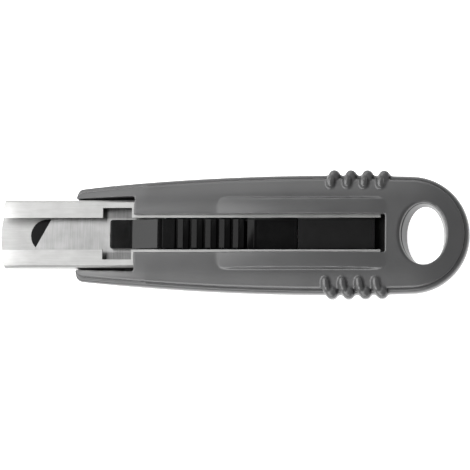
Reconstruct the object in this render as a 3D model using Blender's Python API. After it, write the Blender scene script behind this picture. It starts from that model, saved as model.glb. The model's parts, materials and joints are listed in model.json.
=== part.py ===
"""Spring-return utility knife: moulded handle, folded blade channel, blade, sled and thumb slide.

Metres, +Z up. The knife lies on its back: the nose points along -X, the hanging ring along +X,
and the thumb side faces +Z. The origin is the middle of the underside's bounding box.
"""
import math

import bmesh
import bpy
from mathutils import Vector

MM = 0.001

# Overall sizes
LENGTH = 139.7 * MM
GAP = 0.3 * MM                   # between pieces that are fixed to each other
RUN = 0.2 * MM                   # between pieces that slide or turn

# Heights of the folded channel, which the handle is built round
BACK_WALL = 2.7 * MM
SHEET = 0.6 * MM
CHANNEL_HALF = 10.05 * MM
CHANNEL_HEIGHT = 6.0 * MM
CHANNEL_Z = BACK_WALL + GAP
FLOOR_Z = CHANNEL_Z + SHEET
LIP_Z = CHANNEL_Z + CHANNEL_HEIGHT
LIP_UNDER_Z = LIP_Z - SHEET

# Handle sizes that follow the channel
HALF_WIDTH = CHANNEL_HALF + 7.7 * MM      # at the widest, without the finger bars
CROWN_HEIGHT = LIP_Z + 1.6 * MM           # of the front face beside the raised panel

# Handle outline, from above
NOSE_X = -LENGTH / 2
RING_END_X = LENGTH / 2
CHANNEL_SHOWN = 40.7 * MM        # channel in front of the front shell's edge
ARM_LENGTH = 17.5 * MM           # arms in front of the front shell's edge
STEP_X = NOSE_X + CHANNEL_SHOWN
ARM_TIP_X = STEP_X - ARM_LENGTH
ARM_CORNER_R = 1.8 * MM
ARM_TIP_HALF = HALF_WIDTH - 4.0 * MM
WIDEST_X = RING_END_X - 41.5 * MM
CROWN_X = RING_END_X - 50.5 * MM
CROWN_DROP = 1.3 * MM            # of the front face's long arch at the arm tips
SLOT_END_FROM_RING = 24.7 * MM
SLOT_END_X = RING_END_X - SLOT_END_FROM_RING
SLOT_HALF = 5.6 * MM
MOUTH_TIP_HALF = CHANNEL_HALF + 0.35 * MM   # between the arms at their tips
MOUTH_ROOT_HALF = CHANNEL_HALF + 1.15 * MM  # and at the front shell's edge

# Raised panel on both sides of the slot
PANEL_HALF = CHANNEL_HALF + 0.55 * MM
PANEL_RISE = 0.9 * MM
PANEL_START_X = STEP_X + 24.7 * MM
PANEL_END_X = SLOT_END_X + 0.5 * MM

# Handle, from the side
BELT_Z = LIP_Z - 3.0 * MM        # top of the widest line
SEAM_Z = LIP_Z - 1.0 * MM
SEAM_DROP = 1.5 * MM             # of the seam at the arm tips
SEAM_KNEE_X = STEP_X + 3.7 * MM  # where the seam starts to fall
SEAM_INSET = 1.2 * MM
SHOULDER = 1.6 * MM              # width of the rounding just above the seam
BAY_SIDE = 0.3 * MM              # room beside the channel in its bay
BAY_TOP = 0.15 * MM              # room above the channel's lips

# Hanging hole
RING_WALL = 6.3 * MM             # between the hole's front rim and the ring's end
HOLE_FACE_X = 7.15 * MM
HOLE_FACE_Y = 9.5 * MM
HOLE_WAIST_X = 5.5 * MM
HOLE_WAIST_Y = 8.95 * MM
HOLE_WAIST_Z = 1.7 * MM
HOLE_X = RING_END_X - RING_WALL - HOLE_FACE_X

# Finger bars
BAR_COUNT = 4
BAR_PITCH = 4.9 * MM
BAR_R = 1.1 * MM                 # of the bars on the front face
KNOB_R = 1.8 * MM                # of their thick outer ends
BAR_PROUD = 1.45 * MM
BAR_LEAN = 0.7 * MM              # of the outer ends towards the ring
BAR_SIDE_LEAN = 0.8 * MM         # extra on the lower side
BAR_REACH = 3.7 * MM             # of the bars' inner ends from the outline
BAR_FIRST_X = RING_END_X - 40.5 * MM
BAR_SIDE_SHIFT = 1.25 * MM       # the lower side's bars sit this much nearer the nose

# Blade channel, along the knife
CHANNEL_END_X = SLOT_END_X - 1.3 * MM
LIP_GAP_HALF = 4.75 * MM
NOSE_PINCH = 0.9 * MM
NOSE_PINCH_LENGTH = 10.0 * MM
NOSE_FLARE = 0.25 * MM
NOSE_BULGE = 2.4 * MM
WINDOW_START_X = STEP_X - 9.2 * MM
WINDOW_LENGTH = 8.6 * MM
WINDOW_HALF = CHANNEL_HALF - 2.35 * MM

# Blade
BLADE_LENGTH = 53.0 * MM
BLADE_HALF = CHANNEL_HALF - 0.85 * MM
BLADE_THICK = 0.63 * MM
BLADE_TIP_X = NOSE_X + 7.9 * MM
BLADE_SLOPE = math.tan(math.radians(28.5))
BLADE_BEVEL = 1.4 * MM
BLADE_CENTRE_X = BLADE_TIP_X + BLADE_LENGTH / 2
BLADE_HOLE_R = 1.3 * MM

# Sled
SLED_PLATE = 1.0 * MM
SLED_HALF = CHANNEL_HALF - 0.95 * MM
TONGUE_HALF = 4.9 * MM
TONGUE_TIP_X = NOSE_X + 9.3 * MM
TONGUE_ROOT_X = TONGUE_TIP_X + 10.9 * MM
SPINE_HALF = 4.3 * MM            # half width of everything that shows between the lips

# Thumb button and release flap
PAD_START_X = BLADE_CENTRE_X - 0.9 * MM
PAD_LENGTH = 6.7 * MM
RAMP_LENGTH = 7.6 * MM
RAMP_HOLLOW = 1.4                # power of the ramp's hollow curve
PAD_CORNER_R = 0.8 * MM
BUTTON_REAR_X = BLADE_CENTRE_X + BLADE_LENGTH / 2 + 12.6 * MM
BUTTON_TOP_Z = LIP_Z + 0.3 * MM
PAD_TOP_Z = LIP_Z - 1.2 * MM
RIB_PITCH = 4.1 * MM
RIB_FREE = 4.0 * MM              # plain stretch between the hinge and the first rib
RIB_RISE = 0.3 * MM
GROOVE_WIDTH = 0.9 * MM
GROOVE_DEPTH = 1.3 * MM
HINGE_R = 0.5 * MM
PIN_ROOM = 0.05 * MM             # round the hinge pin in its bores
KNUCKLE_R = 1.6 * MM             # of the flap's rolled end
KNUCKLE_HALF = 2.4 * MM
EAR_R = 1.0 * MM
EAR_SADDLE = 0.45 * MM           # from the pin down to the bridge under the ears
PEG_R = BLADE_HOLE_R - 0.35 * MM

# Sled tail and rear stop
LEDGE_X = BUTTON_REAR_X + 0.9 * MM
TAIL_CREST_X = LEDGE_X + 2.0 * MM
TAIL_END_X = TAIL_CREST_X + 12.7 * MM
TAIL_TOP_Z = LIP_Z - 0.5 * MM
STOP_TOP_Z = LIP_Z - 0.75 * MM
STOP_START_X = TAIL_END_X + GAP
STOP_END_X = SLOT_END_X - 3.0 * MM

# Return spring
SPRING_R = 1.35 * MM
WIRE_R = 0.2 * MM
SPRING_TURNS = 20
TUNNEL_HALF = 2.1 * MM
POST_R = 0.6 * MM
POST_INSET = 3.0 * MM            # of each spring post from the ends of its tunnel
EYE_R = 1.15 * MM

# Screws and rivets
SCREW_R = 0.9 * MM
SCREW_HEAD_R = 1.7 * MM
SCREW_HEAD = 1.2 * MM
SCREW_RECESS = 0.6 * MM
SCREW_TOP_Z = SEAM_Z - 0.6 * MM
BOSS_R = 1.75 * MM
BOSS_Z = 3.4 * MM                # where the front shell's screw bosses end
FRONT_SCREW_X = STEP_X + 13.5 * MM
FRONT_SCREW_Y = CHANNEL_HALF + 3.15 * MM
REAR_SCREW_X = SLOT_END_X + 5.4 * MM
REAR_SCREW_Y = 12.6 * MM
RIVET_R = 1.0 * MM
RIVET_HEAD_R = 2.0 * MM
RIVET_HEAD = 0.8 * MM
RIVET_X = STOP_END_X - 4.5 * MM
RIVET_Y = 5.6 * MM
RIVET_TOP_Z = FLOOR_Z + 2.8 * MM


def clear_scene():
    for obj in list(bpy.data.objects):
        bpy.data.objects.remove(obj, do_unlink=True)


def material(name, colour, roughness, metallic=0.0):
    mat = bpy.data.materials.new(name)
    mat.use_nodes = True
    shader = mat.node_tree.nodes["Principled BSDF"]
    shader.inputs["Base Color"].default_value = (*colour, 1.0)
    shader.inputs["Roughness"].default_value = roughness
    shader.inputs["Metallic"].default_value = metallic
    return mat


def add_object(name, bm, mat=None, smooth_angle=30):
    """Close a bmesh into a named object whose faces point outwards."""
    bmesh.ops.remove_doubles(bm, verts=bm.verts, dist=1e-7)
    bmesh.ops.recalc_face_normals(bm, faces=bm.faces)
    mesh = bpy.data.meshes.new(name)
    bm.to_mesh(mesh)
    bm.free()
    mesh.shade_smooth()
    mesh.set_sharp_from_angle(angle=math.radians(smooth_angle))
    obj = bpy.data.objects.new(name, mesh)
    bpy.context.scene.collection.objects.link(obj)
    if mat:
        mesh.materials.append(mat)
    return obj


def add_cutter(name, bm):
    obj = add_object(name, bm)
    obj.hide_render = True
    obj.display_type = 'WIRE'
    return obj


def cut(obj, cutter, operation='DIFFERENCE', self_crossing=False):
    mod = obj.modifiers.new(cutter.name, 'BOOLEAN')
    mod.operation = operation
    mod.solver = 'EXACT'
    mod.use_self = self_crossing
    mod.object = cutter


def loft(bm, sections, caps=True):
    """Skin a row of equal closed sections and cap both ends."""
    rings = [[bm.verts.new(p) for p in section] for section in sections]
    count = len(rings[0])
    for a, b in zip(rings, rings[1:]):
        for i in range(count):
            j = (i + 1) % count
            bm.faces.new((a[i], a[j], b[j], b[i]))
    if caps:
        bm.faces.new(rings[0])
        bm.faces.new(rings[-1])
    return bm


def box(bm, low, high):
    corners = [(low[0], low[1]), (high[0], low[1]), (high[0], high[1]), (low[0], high[1])]
    return loft(bm, [[(x, y, z) for x, y in corners] for z in (low[2], high[2])])


def prism_y(bm, outline, half):
    """Extrude an outline of (x, z) points across the knife."""
    return loft(bm, [[(x, y, z) for x, z in outline] for y in (-half, half)])


def prism_z(bm, outline, low, high):
    """Extrude an outline of (x, y) points upwards."""
    return loft(bm, [[(x, y, z) for x, y in outline] for z in (low, high)])


def rod(bm, start, end, radius, sides=24):
    """A round rod between two points."""
    start = Vector(start)
    end = Vector(end)
    turn = (end - start).to_track_quat('Z', 'Y').to_matrix()
    ring = [turn @ Vector((radius * math.cos(a), radius * math.sin(a), 0))
            for a in (2 * math.pi * i / sides for i in range(sides))]
    return loft(bm, [[start + p for p in ring], [end + p for p in ring]])


def turned(bm, centre, profile, sides=24):
    """Stack circles of (radius, z) on a vertical axis."""
    x, y = centre
    sections = []
    for radius, z in profile:
        sections.append([(x + radius * math.cos(a), y + radius * math.sin(a), z)
                         for a in (2 * math.pi * i / sides for i in range(sides))])
    return loft(bm, sections)


def tube(bm, path, radii, sides=8):
    """A round tube along a path, with its own radius at each point."""
    points = [Vector(p) for p in path]
    frame = None
    sections = []
    for i, point in enumerate(points):
        ahead = points[min(i + 1, len(points) - 1)] - points[max(i - 1, 0)]
        ahead.normalize()
        if frame is None:
            frame = ahead.to_track_quat('Z', 'Y').to_matrix() @ Vector((1, 0, 0))
        side = (frame - ahead * frame.dot(ahead)).normalized()
        frame = side
        other = ahead.cross(side)
        sections.append([point + radii[i] * (side * math.cos(a) + other * math.sin(a))
                         for a in (2 * math.pi * k / sides for k in range(sides))])
    return loft(bm, sections)


def spread(start, end, steps):
    return [start + (end - start) * i / steps for i in range(steps + 1)]


def crown_z(x):
    """Height of the front face's long arch."""
    return CROWN_HEIGHT - CROWN_DROP * ((x - CROWN_X) / (ARM_TIP_X - CROWN_X)) ** 2


def side_y(x):
    """Half width of the handle's long side curves."""
    return HALF_WIDTH - (HALF_WIDTH - ARM_TIP_HALF) * ((x - WIDEST_X) / (ARM_TIP_X - WIDEST_X)) ** 2


def seam_z(x):
    """Height of the seam, which falls towards the arm tips."""
    if x >= SEAM_KNEE_X:
        return SEAM_Z
    return SEAM_Z - SEAM_DROP * (SEAM_KNEE_X - x) / (SEAM_KNEE_X - ARM_TIP_X)


def panel_rise(x):
    """Extra height of the raised panel, nothing outside its ends."""
    middle = (PANEL_START_X + PANEL_END_X) / 2
    reach = (PANEL_END_X - PANEL_START_X) / 2
    return max(0.0, PANEL_RISE * (1 - ((x - middle) / reach) ** 2))


def ring_centre_x():
    """Centre of the round rear end, whose radius equals the half width there."""
    x = RING_END_X - HALF_WIDTH
    for _ in range(8):
        x = RING_END_X - side_y(x)
    return x


def skin_profile(half, x_of):
    """Half section from the back's middle round the side to the front's middle.

    half is the half width; x_of gives the place along the knife for a distance from the middle.
    """
    points = [(0.0, 0.0), (half - 3.2 * MM, 0.0), (half - 1.5 * MM, 0.45 * MM),
              (half - 0.4 * MM, 2.0 * MM), (half, 4.3 * MM)]
    seam = seam_z(x_of(half))
    belt = min(BELT_Z, seam - 1.2 * MM)
    shoulder = SEAM_INSET + SHOULDER
    narrow = min(1.0, (half - PANEL_HALF - 0.2 * MM) / shoulder)
    points.append((half, belt))
    points.append((half - 0.3 * narrow * SEAM_INSET, belt + 0.5 * (seam - belt)))
    points.append((half - narrow * SEAM_INSET, seam))
    for share, level in ((0.15, 0.12), (0.47, 0.24), (1.0, 0.32)):
        y = half - narrow * (SEAM_INSET + share * SHOULDER)
        points.append((y, seam + level * (crown_z(x_of(y)) - seam)))
    for y, level, share in ((PANEL_HALF, 0.9, 0.0), (PANEL_HALF - 0.4 * MM, 0.92, 0.85),
                            (SLOT_HALF + 0.5 * MM, 1.0, 1.0), (0.0, 1.0, 1.0)):
        x = x_of(y)
        seam_here = seam_z(x)
        points.append((y, seam_here + level * (crown_z(x) - seam_here) + share * panel_rise(x)))
    return points


def handle_blank(name):
    """The whole handle as one solid: straight sections, then half a turn round the ring end."""
    centre = ring_centre_x()
    stations = []
    for a in spread(0.0, math.pi / 2, 4):
        x = ARM_TIP_X + ARM_CORNER_R * (1 - math.cos(a))
        stations.append((x, ARM_CORNER_R * (1 - math.sin(a))))
    for x in spread(ARM_TIP_X + ARM_CORNER_R, centre, 44)[1:]:
        stations.append((x, 0.0))
    bm = bmesh.new()
    spokes = []
    for x, shrink in stations:
        spokes.append([(x, y, z) for y, z in skin_profile(side_y(x) - shrink, lambda d: x)])
    for a in spread(0.0, math.pi, 36)[1:-1]:
        def along(d):
            return centre + d * math.sin(a)
        spokes.append([(centre + y * math.sin(a), y * math.cos(a), z)
                       for y, z in skin_profile(side_y(centre), along)])
    for x, shrink in reversed(stations):
        spokes.append([(x, -y, z) for y, z in skin_profile(side_y(x) - shrink, lambda d: x)])
    rows = [[bm.verts.new(p) for p in spoke] for spoke in spokes]
    for a, b in zip(rows, rows[1:]):
        for i in range(len(a) - 1):
            bm.faces.new((a[i], a[i + 1], b[i + 1], b[i]))
    bmesh.ops.remove_doubles(bm, verts=bm.verts, dist=1e-6)
    open_edges = [e for e in bm.edges if e.is_boundary]
    bmesh.ops.holes_fill(bm, edges=open_edges, sides=0)
    bmesh.ops.dissolve_degenerate(bm, edges=bm.edges, dist=1e-7)
    return add_object(name, bm)


def finger_bars():
    """Round bars on both long edges: slim on the front face, thick round the side, gone at the back."""
    bm = bmesh.new()
    for side in (1, -1):
        shift = BAR_SIDE_SHIFT if side < 0 else 0.0
        lean = BAR_LEAN + (BAR_SIDE_LEAN if side < 0 else 0.0)
        for i in range(BAR_COUNT):
            x = BAR_FIRST_X + i * BAR_PITCH - shift
            half = side_y(x)
            outer = half + BAR_PROUD - KNOB_R
            inner = half - BAR_REACH + BAR_R
            top = SEAM_Z + 0.36 * (crown_z(x) - SEAM_Z)
            path = [(inner - 0.6 * BAR_R, top, 0.0, 0.5 * BAR_R), (inner, top, 0.0, BAR_R),
                    (inner + 0.9 * MM, top - 0.2 * MM, 0.1, BAR_R),
                    (outer - 0.5 * MM, SEAM_Z - 0.6 * MM, 0.55, 0.85 * KNOB_R),
                    (outer, BELT_Z + 0.3 * MM, 1.0, KNOB_R), (outer, BELT_Z - 1.9 * MM, 1.0, KNOB_R),
                    (outer - 0.3 * MM, 2.9 * MM, 0.8, 0.9 * KNOB_R),
                    (outer - 1.4 * MM, 1.9 * MM, 0.5, 0.6 * KNOB_R),
                    (outer - 2.4 * MM, 1.5 * MM, 0.3, 0.3 * KNOB_R)]
            tube(bm, [(x + share * lean, side * y, z) for y, z, share, _ in path],
                 [radius for _, _, _, radius in path], 12)
    return add_cutter("finger_bars", bm)


def oval(x, half_x, half_y, z, count=40):
    return [(x + half_x * math.cos(a), half_y * math.sin(a), z)
            for a in (2 * math.pi * i / count for i in range(count))]


def hole_cutter():
    """Hanging hole, narrowest at its waist and flared to both faces."""
    bm = bmesh.new()
    rise = crown_z(HOLE_X) - HOLE_WAIST_Z
    sections = []
    for level in (-1.1, -0.7, 0.0, 0.7, 1.1):
        reach = rise if level > 0 else HOLE_WAIST_Z
        flare = abs(level) ** 1.5
        sections.append(oval(HOLE_X, HOLE_WAIST_X + flare * (HOLE_FACE_X - HOLE_WAIST_X),
                             HOLE_WAIST_Y + flare * (HOLE_FACE_Y - HOLE_WAIST_Y),
                             HOLE_WAIST_Z + level * reach))
    return add_cutter("hanging_hole", loft(bm, sections))


def seam_outline(shift, far_z):
    """Side view of all that lies above or below the seam."""
    beyond = LENGTH
    tip_z = seam_z(ARM_TIP_X) + shift
    return [(-beyond, far_z), (-beyond, tip_z), (ARM_TIP_X, tip_z),
            (SEAM_KNEE_X, SEAM_Z + shift), (beyond, SEAM_Z + shift), (beyond, far_z)]


def channel_bay():
    """Room for the channel, with the open mouth between the arms in front of it."""
    low = CHANNEL_Z - GAP
    bay = CHANNEL_HALF + BAY_SIDE
    sections = []
    for x, half, high in ((ARM_TIP_X - 5 * MM, MOUTH_TIP_HALF, 4 * CROWN_HEIGHT),
                          (STEP_X, MOUTH_ROOT_HALF, 4 * CROWN_HEIGHT),
                          (STEP_X + 0.1 * MM, bay, LIP_Z + BAY_TOP),
                          (CHANNEL_END_X + GAP, bay, LIP_Z + BAY_TOP)):
        sections.append([(x, -half, low), (x, half, low), (x, half, high), (x, -half, high)])
    return add_cutter("channel_bay", loft(bmesh.new(), sections))


def slot_cutter():
    bm = bmesh.new()
    box(bm, (STEP_X - 1 * MM, -SLOT_HALF, SEAM_Z - 1 * MM), (SLOT_END_X, SLOT_HALF, 4 * CROWN_HEIGHT))
    return add_cutter("thumb_slot", bm)


def pocket_cutter():
    """Cored-out pockets in both shells beside the channel."""
    bm = bmesh.new()
    inner = CHANNEL_HALF + 1.9 * MM
    start = FRONT_SCREW_X + 5 * MM
    end = REAR_SCREW_X - 6 * MM
    for side in (1, -1):
        outline = [(x, side * (side_y(x) - 2.9 * MM)) for x in spread(start, end, 8)]
        outline += [(end, side * inner), (start, side * inner)]
        prism_z(bm, outline, BACK_WALL, SEAM_Z + 0.9 * MM)
    return add_cutter("side_pockets", bm)


def screw_places():
    return (("front_left", FRONT_SCREW_X, -FRONT_SCREW_Y), ("front_right", FRONT_SCREW_X, FRONT_SCREW_Y),
            ("rear_left", REAR_SCREW_X, -REAR_SCREW_Y), ("rear_right", REAR_SCREW_X, REAR_SCREW_Y))


def screw_profile(clearance):
    """Head and shank of a handle screw, or the room it needs."""
    head_top = SCREW_RECESS + SCREW_HEAD
    return [(SCREW_HEAD_R + clearance, SCREW_RECESS - clearance),
            (SCREW_HEAD_R + clearance, head_top - 0.5 * MM + clearance),
            (SCREW_R + clearance, head_top + clearance),
            (SCREW_R + clearance, SCREW_TOP_Z + clearance)]


def screw_cutter():
    bm = bmesh.new()
    for _, x, y in screw_places():
        profile = screw_profile(RUN)
        profile[0] = (profile[0][0], -1 * MM)
        turned(bm, (x, y), profile)
    return add_cutter("screw_holes", bm)


def boss_solids(name, clearance):
    """Screw bosses under the front shell, or the room they need in the back shell."""
    bm = bmesh.new()
    for _, x, y in screw_places():
        high = SEAM_Z + (0.25 * MM if clearance == 0 else 4 * MM)
        turned(bm, (x, y), [(BOSS_R + clearance, BOSS_Z - clearance), (BOSS_R + clearance, high)])
    return add_cutter(name, bm)


def rivet_cutter():
    bm = bmesh.new()
    for side in (1, -1):
        room = [(RIVET_HEAD_R + GAP, -1 * MM), (RIVET_HEAD_R + GAP, 0.5 * MM + RIVET_HEAD + GAP),
                (RIVET_R + GAP, 0.5 * MM + RIVET_HEAD + GAP), (RIVET_R + GAP, RIVET_TOP_Z + GAP)]
        turned(bm, (RIVET_X, side * RIVET_Y), room)
    return add_cutter("rivet_holes", bm)


def make_shell(name, plastic, shared, shift, far_z):
    """The part of the handle on one side of the seam, with the channel bay, hole and pockets."""
    shell = handle_blank(name)
    shell.data.materials.append(plastic)
    side = add_cutter(name + "_side", prism_y(bmesh.new(), seam_outline(shift, far_z), 3 * HALF_WIDTH))
    cut(shell, shared["bars"], 'UNION')
    cut(shell, side, 'INTERSECT')
    for key in ("bay", "hole", "pockets"):
        cut(shell, shared[key])
    return shell


def make_shells(plastic, shared):
    front = make_shell("front_shell", plastic, shared, GAP / 2, 4 * CROWN_HEIGHT)
    cut(front, slot_cutter())
    cut(front, boss_solids("screw_bosses", 0.0), 'UNION')
    cut(front, shared["screws"])
    back = make_shell("back_shell", plastic, shared, -GAP / 2, -10 * MM)
    cut(back, boss_solids("boss_holes", RUN))
    cut(back, shared["screws"])
    cut(back, shared["rivets"])


def channel_section(x, flare, drop):
    """Closed outline of the folded sheet at one place along the knife."""
    half = CHANNEL_HALF + flare
    inner = half - SHEET
    top = LIP_Z - drop * 0.25
    edge = LIP_Z - drop
    bend = 0.7 * MM
    right = [(half - bend, CHANNEL_Z), (half, CHANNEL_Z + bend), (half, top - bend), (half - bend, top),
             (LIP_GAP_HALF, edge), (LIP_GAP_HALF, edge - SHEET), (inner - 0.2 * MM, top - SHEET),
             (inner, top - SHEET - 0.2 * MM), (inner, FLOOR_Z + 0.2 * MM), (inner - 0.2 * MM, FLOOR_Z)]
    left = [(-y, z) for y, z in reversed(right)]
    return [(x, y, z) for y, z in right + left]


def make_channel(steel, shared):
    bm = bmesh.new()
    sections = []
    for share in spread(0.0, 1.0, 6):
        x = NOSE_X + NOSE_PINCH_LENGTH * share
        ease = (1 - share) ** 2
        sections.append(channel_section(x, NOSE_FLARE * ease, NOSE_PINCH * ease))
    sections.append(channel_section(CHANNEL_END_X, 0.0, 0.0))
    channel = add_object("blade_channel", loft(bm, sections), steel)

    nose = bmesh.new()
    half = CHANNEL_HALF + 2 * NOSE_FLARE
    front = []
    for y in spread(-half, half, 16):
        front.append((NOSE_X + NOSE_BULGE * (y / half) ** 2, y))
    front += [(NOSE_X - 5 * MM, half + 1 * MM), (NOSE_X - 5 * MM, -half - 1 * MM)]
    prism_z(nose, front, 0.0, 2 * LIP_Z)
    cut(channel, add_cutter("nose_trim", nose))

    windows = bmesh.new()
    box(windows, (WINDOW_START_X, -WINDOW_HALF, LIP_UNDER_Z - 0.4 * MM),
        (WINDOW_START_X + WINDOW_LENGTH, WINDOW_HALF, 2 * LIP_Z))
    cut(channel, add_cutter("lip_windows", windows))
    cut(channel, shared["rivets"])


def blade_outline():
    """Trapezoid, long cutting edge towards -Y."""
    rise = 2 * BLADE_HALF * BLADE_SLOPE
    rear = BLADE_TIP_X + BLADE_LENGTH
    return [(BLADE_TIP_X, -BLADE_HALF), (rear, -BLADE_HALF), (rear - rise, BLADE_HALF),
            (BLADE_TIP_X + rise, BLADE_HALF)]


def blade_z():
    return FLOOR_Z + RUN + SLED_PLATE + RUN


def make_blade(steel):
    low = blade_z()
    high = low + BLADE_THICK
    middle = (low + high) / 2
    tip, rear, rear_back, front_back = blade_outline()
    start = tip[1] + BLADE_BEVEL
    slope = BLADE_BEVEL * BLADE_SLOPE
    bm = bmesh.new()
    edge = [bm.verts.new((tip[0], tip[1], middle)), bm.verts.new((rear[0], rear[1], middle))]
    rings = {}
    for z in (low, high):
        rings[z] = [bm.verts.new(p) for p in ((tip[0] + slope, start, z), (rear[0] - slope, start, z),
                                              (*rear_back, z), (*front_back, z))]
        bm.faces.new((edge[0], edge[1], rings[z][1], rings[z][0]))
        bm.faces.new(rings[z])
    a = rings[low]
    b = rings[high]
    bm.faces.new((edge[0], a[0], b[0]))
    bm.faces.new((edge[1], b[1], a[1]))
    for i, j in ((1, 2), (2, 3), (3, 0)):
        bm.faces.new((a[i], a[j], b[j], b[i]))
    blade = add_object("blade", bm, steel, 20)
    hole = turned(bmesh.new(), (BLADE_CENTRE_X, 0.0), [(BLADE_HOLE_R, low - 1 * MM),
                                                       (BLADE_HOLE_R, high + 1 * MM)])
    cut(blade, add_cutter("blade_hole", hole))


def make_carrier(black):
    """Sled: plate under the blade with a round tongue, and a block behind the blade."""
    low = FLOOR_Z + RUN
    plate_top = low + SLED_PLATE
    block_start = BLADE_TIP_X + BLADE_LENGTH + 0.5 * MM
    outline = []
    for i in range(17):
        a = math.pi / 2 + math.pi * i / 16
        outline.append((TONGUE_TIP_X + TONGUE_HALF * (1 + math.cos(a)), TONGUE_HALF * math.sin(a)))
    neck_x = TONGUE_ROOT_X + 3 * MM
    outline += [(TONGUE_ROOT_X, -TONGUE_HALF), (neck_x, -SLED_HALF), (TAIL_END_X, -SLED_HALF),
                (TAIL_END_X, SLED_HALF), (neck_x, SLED_HALF), (TONGUE_ROOT_X, TONGUE_HALF)]
    carrier = add_object("blade_carrier", prism_z(bmesh.new(), outline, low, plate_top), black)

    seat = blade_z() + BLADE_THICK + 0.5 * MM
    block_top = LIP_UNDER_Z - RUN
    block = bmesh.new()
    prism_y(block, [(block_start, low), (TAIL_END_X, low), (TAIL_END_X, block_top), (LEDGE_X, block_top),
                    (LEDGE_X, seat), (block_start, seat)], SLED_HALF)
    cut(carrier, add_cutter("sled_block", block), 'UNION')
    tail = bmesh.new()
    prism_y(tail, [(LEDGE_X, plate_top + 0.5 * MM), (TAIL_END_X, plate_top + 0.5 * MM),
                   (TAIL_END_X, TAIL_TOP_Z - 0.2 * MM), (TAIL_CREST_X + 0.8 * MM, TAIL_TOP_Z - 0.2 * MM),
                   (TAIL_CREST_X, TAIL_TOP_Z), (TAIL_CREST_X, LIP_Z - 0.6 * MM),
                   (LEDGE_X, LIP_Z - 0.6 * MM)], SPINE_HALF)
    cut(carrier, add_cutter("sled_tail", tail), 'UNION')

    tunnel = bmesh.new()
    box(tunnel, (TAIL_CREST_X + 1.2 * MM, -TUNNEL_HALF, low - 1 * MM),
        (TAIL_END_X + 1 * MM, TUNNEL_HALF, block_top - 0.4 * MM))
    cut(carrier, add_cutter("sled_tunnel", tunnel))
    post = turned(bmesh.new(), (front_post_x(), 0.0), [(POST_R, spring_z() - 1.0 * MM),
                                                       (POST_R, block_top)], 16)
    cut(carrier, add_cutter("sled_spring_post", post), 'UNION')


def spring_z():
    return (FLOOR_Z + RUN + LIP_UNDER_Z - RUN - 0.4 * MM) / 2


def front_post_x():
    return TAIL_CREST_X + 1.2 * MM + POST_INSET


def rear_post_x():
    return STOP_END_X - POST_INSET


def make_slider(black):
    """Thumb button: wings under the lips, a spine between them, ribs on top, ears for the hinge."""
    start = hinge_x() + 0.5 * KNUCKLE_R
    low = blade_z() + BLADE_THICK + 0.8 * MM
    outline = [(start, low), (BUTTON_REAR_X, low), (BUTTON_REAR_X, BUTTON_TOP_Z)]
    rear = BUTTON_REAR_X
    for _ in range(int((BUTTON_REAR_X - RIB_FREE - hinge_x()) / RIB_PITCH)):
        crest = rear - 1.6 * MM
        front = rear - RIB_PITCH
        outline += [(crest, BUTTON_TOP_Z), (crest, BUTTON_TOP_Z + RIB_RISE),
                    (front + GROOVE_WIDTH, BUTTON_TOP_Z + 0.1 * MM),
                    (front + GROOVE_WIDTH, BUTTON_TOP_Z - GROOVE_DEPTH),
                    (front, BUTTON_TOP_Z - GROOVE_DEPTH), (front, BUTTON_TOP_Z)]
        rear = front
    outline += [(start, BUTTON_TOP_Z)]
    slider = add_object("thumb_slider", prism_y(bmesh.new(), outline, SPINE_HALF), black)
    wings = bmesh.new()
    box(wings, (start + 1 * MM, -SLED_HALF, low + 0.1 * MM),
        (BUTTON_REAR_X - 1 * MM, SLED_HALF, LIP_UNDER_Z - RUN))
    cut(slider, add_cutter("button_wings", wings), 'UNION')
    seat = hinge_rod(2 * SPINE_HALF, KNUCKLE_R + RUN, 40)
    cut(slider, add_cutter("hinge_seat", seat))
    ears = bmesh.new()
    ear = hinge_arc(EAR_R, 0.0, math.pi, 12)
    ear += [(hinge_x() - EAR_R, low), (start + 1.5 * MM, low),
            (start + 1.5 * MM, hinge_z() - EAR_SADDLE), (hinge_x() + EAR_R, hinge_z() - EAR_SADDLE)]
    for side in (1, -1):
        loft(ears, [[(x, side * y, z) for x, z in ear] for y in (KNUCKLE_HALF + RUN, SPINE_HALF)])
    cut(slider, add_cutter("button_ears", ears), 'UNION')
    cut(slider, add_cutter("ear_bore", hinge_rod(2 * SPINE_HALF, HINGE_R + PIN_ROOM, 16)))


def hinge_x():
    return PAD_START_X + PAD_LENGTH + RAMP_LENGTH + 0.6 * MM


def hinge_z():
    return BUTTON_TOP_Z - KNUCKLE_R


def hinge_rod(reach, radius, sides):
    """A round bar across the knife along the hinge's axis."""
    return rod(bmesh.new(), (hinge_x(), -reach, hinge_z()), (hinge_x(), reach, hinge_z()), radius, sides)


def hinge_arc(radius, start, end, steps):
    """Part of a circle round the hinge pin, seen from the side."""
    return [(hinge_x() + radius * math.cos(a), hinge_z() + radius * math.sin(a))
            for a in spread(start, end, steps)]


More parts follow.
